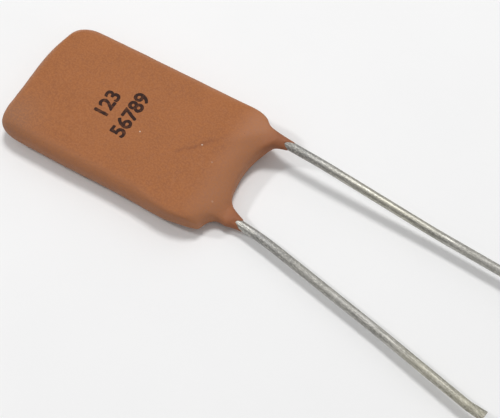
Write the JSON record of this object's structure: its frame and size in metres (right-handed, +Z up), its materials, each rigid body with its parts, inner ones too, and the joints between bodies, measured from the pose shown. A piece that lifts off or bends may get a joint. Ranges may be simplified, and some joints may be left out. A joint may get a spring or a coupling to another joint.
{
  "type": "ceramic capacitor",
  "caption": "Rectangular dipped ceramic capacitor lying flat: a resin coat over a silvered ceramic plate, with splayed tinned wire leads for soldering into a board.",
  "frame": {"origin": "middle of the coat's flat underside, on the surface that the capacitor lies on", "axes": "+X along the body towards the lead tips, +Y to the side where the front lead leaves, +Z up out of the front face"},
  "size_m": [0.0466, 0.0151, 0.0032],
  "materials": {
    "coat_resin": "satin dipped resin",
    "tinned_wire": "dull tinned copper wire",
    "plate_ceramic": "fired, unglazed",
    "silver_film": "fired silver",
    "solder": "dull solder"
  },
  "bodies": {
    "root": {"coating": "coat_resin", "ceramic_plate": "plate_ceramic", "front_electrode": "silver_film", "back_electrode": "silver_film", "front_solder_joint": "solder", "back_solder_joint": "solder", "front_lead": "tinned_wire", "back_lead": "tinned_wire"}
  },
  "joints": []
}
